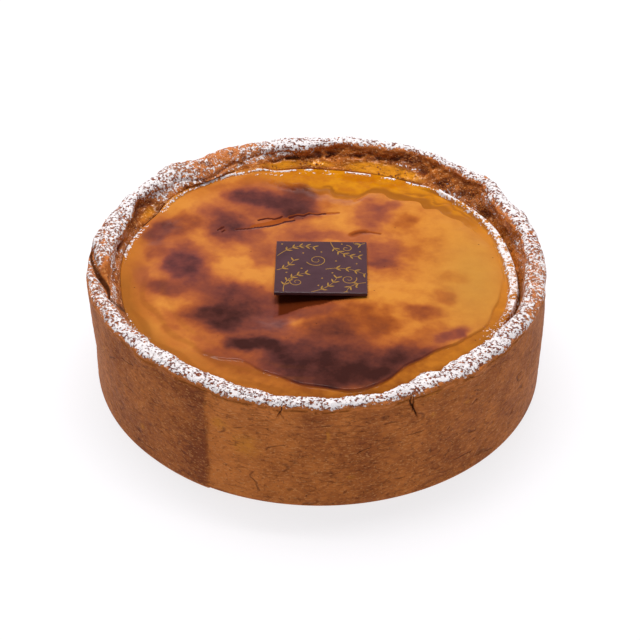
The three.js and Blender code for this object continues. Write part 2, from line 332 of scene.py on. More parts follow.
# The sugar's cover round the ring, and how far in it reaches: 1 is the rim's inner edge, and 2 the custard.
SUGAR_COVER = (
    (264, 46, 0.22), (205, 8, -0.04), (185, 16, -0.06), (150, 10, 0.18), (120, 16, -0.2), (97, 6, 0.25),
    (66, 24, 0.34), (28, 10, 0.2), (352, 12, -0.08), (312, 14, 0.06),
)
SUGAR_INWARD = (
    (272, 70, 0.3), (178, 10, 0.75), (195, 9, 0.6), (124, 19, 0.95), (143, 3, 0.7), (68, 22, -0.1),
    (97, 6, 0.3), (20, 20, -0.1), (345, 20, 0.25),
)
# A spot is (angle, way across, half width in degrees, half way across, size). These change the cover.
SUGAR_SPOTS = (
    (190, 0.95, 7, 0.3, -0.34), (152, 1.5, 8, 0.4, -0.6), (121, 0.9, 6, 0.5, -0.1),
    (285, 0.15, 5, 0.16, -0.35), (300, 0.1, 6, 0.14, -0.4), (262, 0.12, 3, 0.1, -0.2),
    (294, 0.75, 4, 0.25, 0.2), (312, 0.6, 7, 0.3, 0.2), (22, 0.9, 3, 0.3, 0.25),
    (39, 0.4, 1.5, 0.12, -0.4), (215, 0.85, 8, 0.2, -0.2), (340, 0.2, 6, 0.2, -0.25),
    (135, 1.0, 4, 0.2, 0.2), (186, 0.75, 5, 0.2, -0.4),
)
# Sugar that lies further in, on the inner face.
SUGAR_PATCHES = (
    (33, 0.9, 4, 0.3, 0.6), (99, 1.15, 6, 0.22, 0.62), (12, 1.3, 10, 0.3, 0.42), (140, 1.5, 4, 0.4, 0.36),
    (62, 1.45, 5, 0.12, 0.34), (45, 1.6, 9, 0.3, 0.34), (24, 1.2, 6, 0.34, 0.44),
    (118, 1.3, 10, 0.3, 0.28), (170, 1.75, 10, 0.2, 0.4),
)
SUGAR_EVERYWHERE = 0.54
MOST_SUGAR = 0.63
SUGAR_REACHES = 0.92  # across the rim, where no form takes it further in
SUGAR_STARTS_EARLY = (-34, 60, 10)  # here it also lies on the outer edge
# Spots of the inner face that are dug out and painted dark as shade, and spots with a coat of honey-coloured
# glaze.
HOLLOWS = (
    (88, 1.22, 4.5, 0.22, 1.0), (76, 1.26, 6.5, 0.12, 0.9), (58, 1.45, 3.2, 0.18, 0.8),
    (50, 1.5, 3.6, 0.22, 0.8), (41, 1.35, 3, 0.25, 0.6), (99, 1.42, 7, 0.1, 0.9), (66, 1.2, 3, 0.12, 0.6),
    (31, 1.6, 5, 0.25, 0.5), (20, 1.5, 4, 0.2, 0.4), (153, 1.35, 6, 0.3, 0.65), (171, 1.5, 5, 0.2, 0.8),
    (183, 1.5, 5, 0.2, 0.7),
)
HONEY = (
    (72, 1.8, 10, 0.3, 1.0), (102, 1.75, 7, 0.26, 0.75), (90, 1.75, 4, 0.16, 0.7),
    (150, 1.75, 6, 0.25, 0.45), (120, 1.7, 8, 0.3, 0.3), (60, 1.75, 4, 0.2, 0.5),
)
# Where the inner face is torn rather than smooth, round the ring.
CRUMBLY = ((60, 24, 1.0), (36, 12, 0.8), (124, 16, 0.75), (90, 12, 0.6), (10, 12, 0.5))
HOLLOW_DEPTH = 2.2
# Lighter (above 0) and darker places of the inner face round the ring.
FACE_TONE = ((82, 9, 0.3), (64, 8, -0.3), (112, 8, 0.2), (150, 9, -0.3), (10, 8, 0.5))
# How far the roughness stands out in mm: on the wall its lumps, grain and fine grain, on the rim its grain,
# fine grain and lumps, and on the torn face its crags, grain and fine grain.
WALL_ROUGH = (0.28, 0.16, 0.07)
RIM_ROUGH = (0.34, 0.3, 0.2)
FACE_ROUGH = (1.1, 0.9, 0.4)
SMOOTHEST = 0.2  # the share of that roughness where the face isn't torn


def spots(angle, way, table):
    total = 0
    for at, middle, half, reach, size in table:
        total = total + size * fade(from_angle(angle, at), half) * fade(way - middle, reach)
    return total


def rough(sizes, *clouds):
    return sum(size * values for size, values in zip(sizes, clouds))


angles = crust_angles()
radii, heights = crust_rows(angles)
grid = grid_of(radii, heights, angles)
normal = grid_normals(grid)
row = np.arange(radii.shape[1])
wall_start = len(FOOT_SHARES) + len(FOOT_TURNS)
rim_start = wall_start + WALL_ROWS
face_start = rim_start + RIM_ROWS
face_end = face_start + FACE_ROWS
on_wall = ((row >= wall_start) & (row < rim_start)).astype(float)[None, :]
# Across the rim this runs from 0 to 1, and down the inner face from 1 to 2.
across = np.clip((row - rim_start) / (RIM_ROWS - 1), 0, 1)[None, :]
across = across + np.clip((row - face_start + 1) / FACE_ROWS, 0, 1)
place = angles[:, None] + 0 * radii
lumps = cloud(grid, 14)
grain = cloud(grid, 3.2)
fine = cloud(grid, 1.4, 2)
crumbly = np.clip(forms(place, CRUMBLY), 0, 1)
on_face = rise(across, 0.75, 1.1) * (row < face_end)
on_rim = rise(across, 0, 0.12) * (1 - rise(across, 0.85, 1.15))
foot_keep = rise(heights, 0.5, 4)
swell = on_wall * foot_keep * rough(WALL_ROUGH, lumps, grain, fine)
swell = swell + on_rim * rough(RIM_ROUGH, grain, fine, lumps)
torn = cloud(grid + 300, 8)
broken = rise(cloud(grid + 900, 4, 2), -0.45, 0.05)
hollow = np.minimum(1, spots(place, across, HOLLOWS) * broken) * (row < face_end)
honey = np.clip(spots(place, across, HONEY) * (1 - 0.6 * hollow), 0, 1) * (row < face_end)
crags = (SMOOTHEST + (1 - SMOOTHEST) * crumbly) * rough(FACE_ROUGH, torn, grain, fine)
swell = swell + on_face * crags * (1 - 0.7 * honey)
swell = swell - HOLLOW_DEPTH * hollow * on_face
swell = np.where(row >= face_end - 1, 0, swell)
moved = grid + normal * swell[..., None]
radii = np.hypot(moved[..., 0], moved[..., 1])
heights = moved[..., 2]
fold_line, fold_share = fold_away(place, np.minimum(across, 1))
in_fold = fade(fold_line, 0.1) * fold_share * (row >= rim_start)
cover = SUGAR_EVERYWHERE + forms(place, SUGAR_COVER) + spots(place, across, SUGAR_SPOTS)
cover = np.minimum(cover, MOST_SUGAR) * (1 - 0.9 * in_fold)
inward = SUGAR_REACHES + np.minimum(1.1, forms(place, SUGAR_INWARD))
edge_wave = 0.09 * cloud(grid, 6, 2)
up = rise(normal[..., 2], -0.15, 0.4)
outward = edge_wave - 0.14 * span(place, *SUGAR_STARTS_EARLY)
sugar = cover * rise(across, outward - 0.02, 0.24 + outward)
sugar = sugar * (1 - rise(across, inward - 0.28, inward + 0.16))
sugar = np.maximum(sugar, spots(place, across, SUGAR_PATCHES)) * (1 - 0.8 * hollow)
sugar = np.where((row < rim_start - 1) | (row >= face_end), 0, np.clip(sugar * up, 0, 1))
yellow = 0
for at, height, half, tall in YELLOW:
    yellow = yellow + fade(from_angle(place, at), half) * fade(heights - height, tall)
past_seam = from_angle(place, SEAM["at"])
before, after = (paler * fade(past_seam - past, half) for past, half, paler in SEAM_TONES)
seam_tone = mix(before, after, rise(past_seam + 0.8 * lumps, -0.7, 0.7))
above_shoulder = heights - rim_at(place)[2] + RIM_BEAD
sheds = crumbly * rise(across, 1.0, 1.25) * rise(cloud(grid + 700, 6, 2), -0.1, 0.4)
crust_numbers = {
    "sugar": sugar,
    "inside": on_face,
    "paler": on_wall * (forms(place, WALL_TONE) + seam_tone),
    "yellow": on_wall * yellow,
    "shoulder": fade(above_shoulder - 0.4, 1.5) * (across < 0.5),
    # Painted shade in the cracks and along the fold.
    "crease": np.maximum(crack_depth(place, heights)[1] * (1 - rise(across, 0.3, 0.8)), in_fold),
    "glazed": honey * on_face,
    "hollow": hollow * on_face,
    "crumbly": sheds * on_face,
    "face_tone": forms(place, FACE_TONE),
}
crust_mesh = turned("crust_baked", radii, heights, angles, 0, BASE_THICKNESS, crust_numbers)
crust = placed("crust_baked", crust_mesh)


class Value:
    """A number socket of a node tree. Sums with it, such as 1 - mask * 0.5, add the Math nodes for them."""

    def __init__(self, tree, socket):
        self.tree = tree
        self.socket = socket

    def maths(self, operation, *values):
        return self.tree.add("ShaderNodeMath", {"operation": operation}, dict(enumerate(values)))

    def __add__(self, other):
        return self.maths("ADD", self, other)

    def __sub__(self, other):
        return self.maths("SUBTRACT", self, other)

    def __rsub__(self, other):
        return self.maths("SUBTRACT", other, self)

    def __mul__(self, other):
        return self.maths("MULTIPLY", self, other)

    def __abs__(self):
        return self.maths("ABSOLUTE", self)

    __radd__ = __add__

    def rise(self, low, high, floor=0.0, top=1.0):
        """floor below low and top above high, with a soft slope between."""
        settings = {"interpolation_type": "SMOOTHSTEP"}
        return self.tree.add("ShaderNodeMapRange", settings, {0: self, 1: low, 2: high, 3: floor, 4: top})


class Tree:
    """A tree of nodes, of a material or of a way to make a mesh."""

    def __init__(self, tree):
        self.nodes = tree.nodes
        self.links = tree.links
        self.nodes.clear()

    def add(self, kind, settings, sockets, output=0):
        node = self.nodes.new(kind)
        for key, value in settings.items():
            if key == "stops":
                stops = node.color_ramp.elements
                while len(stops) < len(value):
                    stops.new(1)
                for stop, (at, light) in zip(stops, value):
                    stop.position = at
                    stop.color = light
            else:
                setattr(node, key, value)
        for key, value in sockets.items():
            if isinstance(value, Value):
                self.links.new(value.socket, node.inputs[key])
            else:
                node.inputs[key].default_value = value
        return Value(self, node.outputs[output])

    def noise(self, where, size, detail=2.0, rough=0.5):
        """Uneven 0 to 1 with lumps of this size in mm."""
        sockets = {"Vector": where, "Scale": 1 / (size * MM), "Detail": detail, "Roughness": rough}
        return self.add("ShaderNodeTexNoise", {}, sockets)


class Finish(Tree):
    """A material and the nodes that it is mixed from."""

    def __init__(self, name):
        self.material = bpy.data.materials.new(name)
        self.material.use_nodes = True
        super().__init__(self.material.node_tree)

    def place(self, stretch=(1, 1, 1), turn=(0, 0, 0)):
        """Object coordinates; a stretch over 1 along an axis makes a pattern that much finer along it."""
        where = self.add("ShaderNodeTexCoord", {}, {}, "Object")
        return self.add("ShaderNodeMapping", {}, {"Vector": where, "Scale": stretch, "Rotation": turn})

    def number(self, label):
        return self.add("ShaderNodeAttribute", {"attribute_name": label}, {}, "Fac")

    def blend(self, share, a, b):
        """Colour a where share is 0, and b where it is 1."""
        return self.add("ShaderNodeMix", {"data_type": "RGBA"}, {0: share, 6: a, 7: b}, 2)

    def layers(self, colour, *layers):
        """Lays each (share, colour) over what came before it."""
        for share, top in layers:
            colour = self.blend(share, colour, top)
        return colour

    def bump(self, height, distance):
        sockets = {"Height": height, "Strength": 1.0, "Distance": distance * MM}
        return self.add("ShaderNodeBump", {}, sockets)

    def shell(self, colour, roughness, specular, relief=None, depth=1.0, **more):
        """Ends the material in one Principled surface; relief of 1 stands this depth in mm above 0."""
        sockets = {"Base Color": colour, "Roughness": roughness, "Specular IOR Level": specular}
        if relief is not None:
            sockets["Normal"] = self.bump(relief, depth)
        for label, value in more.items():
            sockets[label.replace("_", " ")] = value
        return self.end(self.add("ShaderNodeBsdfPrincipled", {}, sockets))

    def end(self, surface):
        out = self.nodes.new("ShaderNodeOutputMaterial")
        self.links.new(surface.socket, out.inputs["Surface"])
        return self.material


def light_of(red, green, blue):
    values = np.array([red, green, blue]) / 255
    return np.where(values <= 0.04045, values / 12.92, ((values + 0.055) / 1.055) ** 2.4)


def shade(red, green, blue):
    """A colour as it looks on a screen, 0 to 255, as the light values that a shader takes."""
    return (*light_of(red, green, blue).tolist(), 1.0)


SUGAR_WHITE = shade(236, 229, 228)


def sugar_film(tree, where, cover):
    """1 where a film of icing sugar lies, 0 between its specks."""
    specks = tree.noise(where, 1.15, 3.0, 0.6)
    drifts = tree.noise(where, 3.6)
    need = 0.5 + (0.5 - cover) * 0.42
    return (specks + (drifts - 0.5) * 0.3 - need).rise(-0.035, 0.04) * cover.rise(0.02, 0.14)


def baked_pastry():
    finish = Finish("baked_pastry")
    where = finish.place()
    drawn = finish.place((0.6, 0.6, 1.3), (0.12, 0.1, 0))
    patches = finish.noise(where, 15, 3.0)
    mottle = finish.noise(drawn, 1.9, 4.0, 0.65)
    specks = finish.noise(drawn, 0.85, 2.0, 0.6)
    pits = finish.noise(where, 1.3)
    curves = finish.noise(drawn, 15, 1.0)
    thinned = finish.noise(where, 9, 1.0)
    line = (1 - abs(curves - 0.5).rise(0.004, 0.02)) * (thinned - 0.55).rise(0, 0.08)
    drags = finish.noise(finish.place((0.5, 0.5, 2.2), (0.1, -0.14, 0)), 6)
    drag = (1 - abs(drags - 0.5).rise(0.006, 0.03)) * (0.5 - thinned).rise(0, 0.06)
    numbers = {label: finish.number(label) for label in crust_numbers}
    inside, glazed, cover = numbers["inside"], numbers["glazed"], numbers["sugar"]
    wall, dusted = 1 - inside, cover.rise(0.02, 0.3)
    tone = (patches - 0.5) * 0.75 + (mottle - 0.5) * 1.0 + numbers["paler"] * 0.45 + 0.49
    # Painted shade: where sugar lies thick, the pastry between its specks is darkened.
    gap_shade = (cover + 0.1 + (mottle - 0.5) * 1.9).rise(0.3, 0.72)
    brown = finish.layers(
        finish.blend(tone.rise(0, 1), shade(122, 59, 24), shade(198, 117, 52)),
        ((specks - 0.55).rise(0, 0.12) * 0.5, shade(206, 142, 84)),
        ((pits - 0.62).rise(0, 0.08) * 0.4, shade(92, 42, 18)),
        ((numbers["yellow"] * (0.2 + mottle)).rise(0.25, 0.95) * 0.62, shade(198, 126, 32)),
        (line * 0.5 * wall, shade(80, 33, 12)),
        (drag * 0.36 * wall, shade(92, 42, 16)),
        (numbers["shoulder"] * (0.1 + mottle * 0.6), shade(190, 110, 46)),
        (dusted * 0.85, finish.blend(gap_shade, shade(202, 116, 54), shade(110, 55, 42))),
    )
    face_tone = (mottle - 0.5) * 1.7 + (patches - 0.5) * 1.0 + numbers["face_tone"] * 0.5 + 0.5
    face = finish.layers(
        finish.blend(face_tone.rise(0, 1), shade(96, 40, 14), shade(196, 110, 36)),
        ((specks - 0.56).rise(0, 0.08) * 0.6, shade(236, 176, 120)),
        (glazed.rise(0.15, 0.7) * (mottle + 0.1).rise(0.3, 0.6), shade(226, 144, 20)),
        # Painted shade: the dug-out hollows are darkened.
        (numbers["hollow"].rise(0.15, 0.8) * 0.85, shade(92, 32, 14)),
    )
    powder = finish.noise(where, 0.55, 2.0, 0.6)
    dusting = (powder - 0.6 + cover * 0.2).rise(-0.03, 0.05)
    dusting = dusting * cover.rise(0.06, 0.3) * (1 - cover.rise(0.46, 0.6))
    film = sugar_film(finish, where, cover)
    colour = finish.layers(
        brown,
        (inside * (1 - dusted * 0.6), face),
        # Painted shade in the cracks and along the fold.
        (numbers["crease"].rise(0.2, 0.8) * 0.9, shade(58, 26, 12)),
        (dusting * 0.36, shade(222, 172, 132)),
        (film, SUGAR_WHITE),
    )
    relief = mottle * 0.26 + specks * 0.1 - (pits - 0.6).rise(0, 0.1) * 0.14
    relief = relief - line * 0.25 - drag * 0.12 + film * 0.2
    roughness = 0.6 + film * 0.3 - inside * 0.2
    coat = (glazed * 0.8 + inside * (mottle - 0.42).rise(0, 0.1) * 0.5) * (1 - film)
    return finish.shell(
        colour, roughness, 0.1, relief, Coat_Weight=coat, Coat_Roughness=0.12, Coat_IOR=1.45
    )


crust_mesh.materials.append(baked_pastry())
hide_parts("crust")
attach(crust, "root")

# ---- Custard ----
# Set custard under a skin that the oven has browned in patches. A clear glaze was brushed over it. It lies
# thick in the gutter round the skin and at the back right, where it has wrinkled, and stands in beads at
# the crust.
FIT_GAP = 0.35
EDGE_GAP = 0.12  # the skin all but touches the crust
SKIN_RADIUS = 78
SKIN_REACH = (
    (37, 5, -4), (47, 5, -7), (54, 3, -5), (60, 4, -8), (70, 9, -8), (80, 7, -13), (92, 12, -12),
    (195, 26, -2), (245, 15, -9.5), (283, 7, 3.5), (304, 14, -4.5), (316, 8, -3), (348, 14, 2),
    (14, 12, 2),
)
SKIN_UNEVEN = ((9, 0.8, 0.5), (17, 2.6, 0.5), (26, 1.1, 0.4))
SKIN_WAVES = ((23, 0.5, 1.0), (41, 2, 0.7), (67, 1, 0.35))  # at the back right, where the glaze has wrinkled
SHARP_STEP = (-0.8, 0.6)  # from inside the skin's edge to outside it
SOFT_STEP = (-9, 5)
# How much of the step at the skin's edge is sharp, round the ring; elsewhere the skin slopes softly down.
STEP_SHARP = ((281, 28, 0.9), (318, 24, 0.6), (346, 12, 0.35), (52, 22, 0.8), (245, 18, 0.2))
SKIN_RELIEF = (
    (-18, -25, 13, -2.2), (22, -17, 12, 1.0), (-20, 34, 16, -0.7), (18, 44, 12, 0.5), (38, -18, 26, 0.4),
    (-48, 8, 20, 0.3), (6, -58, 18, 0.3), (-45, -42, 14, -0.3), (52, 26, 16, -0.3),
)
# The dried lip that stands at the right, beyond a groove; the widths are (base, more, angle, half width).
LIP = {"height": 2.1, "groove": (0.35, 0.5, 27, 17), "top": (2.1, 2.6, 4, 26), "falls": 1.3}
GUTTER_LEAST = 0.7  # from the lip to the skin
# Browned patches: (x, y, half length, half width, turn in degrees, depth, how violet).
BROWNED = (
    (-29, 58, 14, 7.5, -12, 0.7, 0.75), (-11, 53.5, 11, 8.5, -26, 0.74, 0.6),
    (-38, 59, 6, 5, 0, 0.25, 0.7), (-8, 64, 6, 6, 0, 0.3, 0.1), (-8, 46, 9, 4, 6, 0.5, 0.3),
    (-18, 45, 14, 5, -6, 0.36, 0.6), (-10, 67, 14, 6, -20, 0.4, 0.0), (-42, 35, 8.5, 12, 0, 0.66, 0.6),
    (-31, 30, 8, 10, 0, 0.42, 0.7), (-24, 14, 6, 9, 0, 0.34, 0.6), (-50, 48, 7, 6, -20, 0.28, 0.8),
    (-72.5, 32, 6.5, 10, -12, 0.62, 0.6), (-62, 37, 8, 7, 10, 0.44, 0.3), (-63, 27, 6, 4, 0, 0.3, 0.5),
    (-60, 6, 8, 12, 12, 0.7, 0.9), (-53, -2, 6, 9, 0, 0.4, 0.7), (-67, -11, 9, 5.5, -12, 0.46, 0.5),
    (-56, -14, 14, 8, 0, 0.16, 0.6), (-38, -20, 20, 10, 0, 0.16, 0.6), (-74, -24, 6, 12, 12, 0.12, 0.1),
    (-73, 15, 5, 7, 0, 0.34, 0.5), (-30, -25, 7, 5, 0, 0.2, 0.3), (-32, -38, 9, 6, 0, 0.4, 0.6),
    (-48, 12, 5, 8, 0, 0.22, 0.5), (-79, 0, 4, 9, 15, 0.3, 0.8), (-41, -31, 13, 11, 10, 0.8, 0.3),
    (-53, -28, 7, 5, 0, 0.36, 0.2), (-33, -15, 15, 7, -10, 0.5, 0.6), (-20, -30, 9, 11, 0, 0.5, 0.7),
    (-16, -40, 9, 5, 0, 0.3, 0.6), (-27, -50, 14, 5.5, -10, 0.86, 0.3),
    (-36, -60, 14, 5.5, -32, 0.42, 0.4), (-62, -35, 5, 7, 30, 0.2, 0.3), (-8, -57, 16, 9, -14, 0.6, 0.6),
    (8, -65, 22, 12, -6, 0.62, 0.35), (8, -50, 17, 10, 0, 0.46, 0.3), (26, -62, 13, 9, 30, 0.5, 0.35),
    (5, -37, 12, 8, 8, 0.6, 0.1), (8, -74, 19, 8, 2, 0.66, 0.3), (-14, -66, 12, 8, -36, 0.6, 0.5),
    (36, -57, 10, 7, 38, 0.56, 0.4), (12, -66, 12, 3.5, -14, 0.44, 0.1), (20, -72, 12, 4, 12, 0.4, 0.1),
    (-3, -25, 14, 5, 14, 0.42, 0.5), (16, -27, 8, 4.5, 0, 0.3, 0), (26, -36, 7, 9, 0, 0.44, 0),
    (50, -38, 5, 4, 0, 0.2, 0.2), (36, -54, 7, 6, 40, 0.2, 0.2), (32, 1, 7, 7, 0, 0.16, 0.3),
    (55, -18, 5, 5, -20, 0.28, 0.2), (44, -28, 7, 5, -10, 0.42, 0.2), (59, -2, 6, 5, 0, 0.18, 0),
    (23, 45, 7.5, 12, 0, 0.38, 0.9), (50, 20, 8, 12, 0, 0.12, 0), (32, 52, 6, 4, 10, 0.3, 0.9),
    (39, 40, 5.5, 6, 0, 0.38, 0), (27, 16, 8.5, 11, 0, 0.38, 0.85), (30, 8, 7, 4, 0, 0.34, 0.5),
    (40, 16, 6, 6, 0, 0.16, 0.1), (40, 31, 6, 4, 0, 0.16, 0.2), (5, 28, 16, 4, 0, 0.28, 0.9),
    (-10, 28, 10, 9, 0, 0.3, 0.7), (57, -43, 8, 3.2, 32, 0.5, 0.9), (45, -56, 8, 4, 38, 0.34, 0.6),
    (-57, 20, 6, 4, 0, 0.3, 0.6), (-45, -12, 8, 6, 0, 0.24, 0.7), (-38, 69, 16, 4, 22, 0.2, 0),
    (44, -44, 6, 4, 20, 0.12, 0.1), (8, 54, 7, 4, 0, 0.22, 0),
)
# Places where the skin has stayed bright: (x, y, half length, half width, turn in degrees, how bright).
BRIGHT = (
    (-38, 6, 11, 7, 0, 0.7), (-27, -5, 6, 9, 0, 1.0), (-49, 19, 10, 3.5, -46, 0.7),
    (-45, 63, 6, 4, 0, 0.6), (-6, -36, 7, 4, 0, 1.2), (30, -51, 4, 4, 0, 0.9), (10, 46, 10, 10, 0, 0.8),
    (30, 27, 7, 4, 0, 0.8), (-62, -21, 9, 6, 0, 0.8), (-64, 51, 9, 6, 15, 1.2), (-58, 25, 6, 3, -30, 1.0),
    (-72, -40, 6, 14, 30, 0.5), (-52, -44, 7, 14, 35, 0.3), (-17, 29, 5, 4, 0, 0.6),
    (34, -14, 14, 10, 0, 0.5), (46, 34, 16, 10, 0, 0.5), (60, 18, 14, 22, 0, 0.4), (40, 45, 5, 5, 0, 0.5),
    (-44, -12, 5, 4, 0, 0.5), (0, -55, 6, 3, 0, 0.8), (-28, 24, 4, 4, 0, 0.6), (13, 30, 4, 3, 0, 0.6),
)
# Splits in the skin: half width, depth and how dark its painted shade is, and the places that it runs
# through.
SKIN_SPLITS = (
    (1.3, 0.3, 0.2, ((-30, 35.6), (-26, 37.8), (-21, 39.4), (-16.5, 41.6), (-12.5, 42.4))),
    (0.66, 0.25, 1.3, ((-37, 32.6), (-31, 34), (-26, 35.6), (-21, 37.4), (-16, 39.8), (-11, 40.8))),
    (0.66, 0.2, 1.2, ((-28, 41), (-24, 42.4), (-20, 42), (-17, 44))),
    (1.2, 0.3, 1.0, ((-13, 43.6), (-10, 44.8), (-7, 44.2), (-4.5, 45.8))),
    (0.8, 0.25, 0.9, ((-4.5, 45.8), (-1, 45), (3, 46.2))),
    (0.8, 0.2, 0.3, ((3, 46.2), (9, 46.4))),
    (1.9, 0.4, 0.6, ((15, 29.4), (18, 31), (20.5, 31.4))),
    (0.9, 0.3, 0.6, ((20.5, 31.4), (27, 30.2))),
    (0.6, 0.2, 1.5, ((-46, 32), (-43, 34.6))),
    (0.6, 0.2, 1.4, ((-44, 30.6), (-42.4, 32.2))),
)
# Stretches of the ring, each (start, stop, how softly it ends): where the glaze has wrinkled and where its
# wrinkles show as folds, where beads of it stand at the crust in one row and in two, where it is streaked,
# and where the rim shades it; and where sugar lies on the ledge, and as dust along the crust.
WRINKLED = (28, 104, 8)
FOLDED = (28, 92, 8)
BEADED = (44, 147, 3)
BEADED_TWICE = (84, 118, 4)
STREAKED = (184, 262, 12)
SHADED = (178, 345, 12)
SUGARED_LEDGE = (156, 172, 4)
DUSTED = (200, 345, 8)
# The dust reaches further in here.
DUST_REACH = ((232, 14, 5), (332, 12, 7), (300, 8, 2), (215, 6, 2))
# The wedge in front of the plaque: glaze pooled in a dip of the skin, painted dark with the plaque's shadow.
POOL_AND_SHADOW = {"left": -17.2, "right": 21, "low": -28.3, "slope": 0.31}


def lip_width(part, angle):
    base, more, at, half = LIP[part]
    return base + more * fade(from_angle(angle, at), half)


def lip_inner(angle, edge):
    return edge - lip_width("groove", angle) - lip_width("top", angle) - LIP["falls"]


def skin_edge(angle, edge):
    wavy = span(angle, *WRINKLED) * ripples(angle, SKIN_WAVES)
    wanted = SKIN_RADIUS + forms(angle, SKIN_REACH) + ripples(angle, SKIN_UNEVEN) + wavy
    return np.minimum(lip_inner(angle, edge) - GUTTER_LEAST, wanted)


def top_height(angle, radius):
    """Height of the custard's upper side."""
    turn = np.radians(angle)
    x, y = radius * np.cos(turn), radius * np.sin(turn)
    edge = meeting_at(angle)[0]
    inwards = edge - radius
    past = radius - skin_edge(angle, edge)
    relief = 0
    for at_x, at_y, size, swell in SKIN_RELIEF:
        relief = relief + swell * fade(np.hypot(x - at_x, y - at_y), size)
    sharp = np.clip(forms(angle, STEP_SHARP), 0, 1)
    drop = SKIN_STEP * (sharp * rise(past, *SHARP_STEP) + (1 - sharp) * rise(past, *SOFT_STEP))
    lip = groove_at(angle)
    width = lip_width("groove", angle)
    inner = width + lip_width("top", angle)
    stands = rise(inwards, width - 0.4, width + 0.8)
    falls = 1 - rise(inwards, inner - 0.5, inner - 0.5 + LIP["falls"])
    lip_height = lip * (LIP["height"] * stands * falls - GROOVE["depth"] * (1 - stands))
    steep = CLIMB["steep"] * fade(np.maximum(inwards, 0), CLIMB["film"])
    climb = climb_at(angle) * ((1 - CLIMB["steep"]) * (1 - rise(inwards, 0, CLIMB["spreads"])) + steep)
    return CUSTARD_LEVEL + relief * (1 - rise(past, -4, 3)) - drop + lip_height + climb


def away_from(x, y, path):
    """Distance to a line through these places."""
    nearest = np.full(x.shape, 1e9)
    for (ax, ay), (bx, by) in zip(path, path[1:]):
        length = (bx - ax) ** 2 + (by - ay) ** 2
        along = np.clip(((x - ax) * (bx - ax) + (y - ay) * (by - ay)) / length, 0, 1)
        nearest = np.minimum(nearest, np.hypot(x - mix(ax, bx, along), y - mix(ay, by, along)))
    return nearest


def patch_shape(x, y, at_x, at_y, length, width, turn, sharp):
    turn = np.radians(turn)
    dx, dy = x - at_x, y - at_y
    along = (dx * np.cos(turn) + dy * np.sin(turn)) / length
    side = (dy * np.cos(turn) - dx * np.sin(turn)) / width
    return 1 / (1 + np.hypot(along, side) ** sharp)


BROWN_EDGE = 5.5  # the higher, the sharper a patch ends
BRIGHT_EDGE = 4
CUSTARD_COLUMNS = 640
LIP_ROWS = 17
GUTTER_ROWS = 10
EDGE_ROWS = 8
SKIN_ROWS = 96
custard_angles = np.arange(CUSTARD_COLUMNS) * 360 / CUSTARD_COLUMNS


def custard_rows(angle):
    """Radius and height of the rows of the section, from the foot of the side to the middle of the skin."""
    edge, edge_height = meeting_at(angle)
    edge = edge - EDGE_GAP
    skin = skin_edge(angle, edge)
    lip_in = lip_inner(angle, edge)
    side = POCKET_RADIUS - FIT_GAP
    radii = [side + 0 * angle, side + 0 * angle]
    radii += [mix(edge, lip_in, share) for share in np.linspace(0, 1, LIP_ROWS)]
    outside, inside = skin + 0.7, skin - 0.9
    gutter = np.maximum(lip_in, outside + 0.2)
    radii += [mix(gutter, outside, share) for share in np.linspace(0, 1, GUTTER_ROWS + 1)[1:]]
    radii += [mix(outside, inside, share) for share in np.linspace(0, 1, EDGE_ROWS + 1)[1:]]
    radii += [inside * share for share in np.linspace(1, 0, SKIN_ROWS)[1:-1]]
    radii = np.stack(radii, 1)
    heights = top_height(angle[:, None] + 0 * radii, radii)
    heights[:, 0] = BASE_THICKNESS + FIT_GAP
    heights[:, 1] = edge_height - POCKET_DROP - 0.2
    return radii, heights


radii, heights = custard_rows(custard_angles)
grid = grid_of(radii, heights, custard_angles)
place = custard_angles[:, None] + 0 * radii
x, y = grid[..., 0], grid[..., 1]
on_top = (np.arange(radii.shape[1]) > 1)[None, :]
edge = meeting_at(place)[0] - EDGE_GAP
skin = skin_edge(place, edge)
past = radii - skin
inwards = edge - radii
sharp = np.clip(forms(place, STEP_SHARP), 0, 1)
warp_x, warp_y = (2.2 * cloud(grid + shift, 12) + 1.3 * cloud(grid + shift, 4) for shift in (0, 500))
clear, bright = 1.0, 0
weight = 0.12
violet = weight * (0.6 - 0.4 * rise(x, -20, 30))
for at_x, at_y, length, width, turn, depth, tint in BROWNED:
    patch = depth * patch_shape(x + warp_x, y + warp_y, at_x, at_y, length, width, turn, BROWN_EDGE)
    clear = clear * (1 - patch)
    violet = violet + tint * patch
    weight = weight + patch
for at_x, at_y, length, width, turn, depth in BRIGHT:
    patch = patch_shape(x + warp_x, y + warp_y, at_x, at_y, length, width, turn, BRIGHT_EDGE)
    bright = np.maximum(bright, depth * patch)
soft_amber = rise(past, -4, 7) * (0.5 + 0.5 * span(place, 60, 104, 12) - 0.3 * span(place, 112, 160, 8))
amber = sharp * rise(past, -0.5, 0.5) + (1 - sharp) * soft_amber
toast = (1 - clear) * (1 - 0.9 * sharp * rise(past, -0.4, 0.4))
split, split_dark = 0, 0
for half, depth, dark, path in SKIN_SPLITS:
    away = away_from(x + 0.3 * warp_x, y + 0.3 * warp_y, path)
    split = np.maximum(split, fade(away, half))
    split_dark = np.maximum(split_dark, dark * fade(away, half))
    heights = heights - depth * fade(away, half)
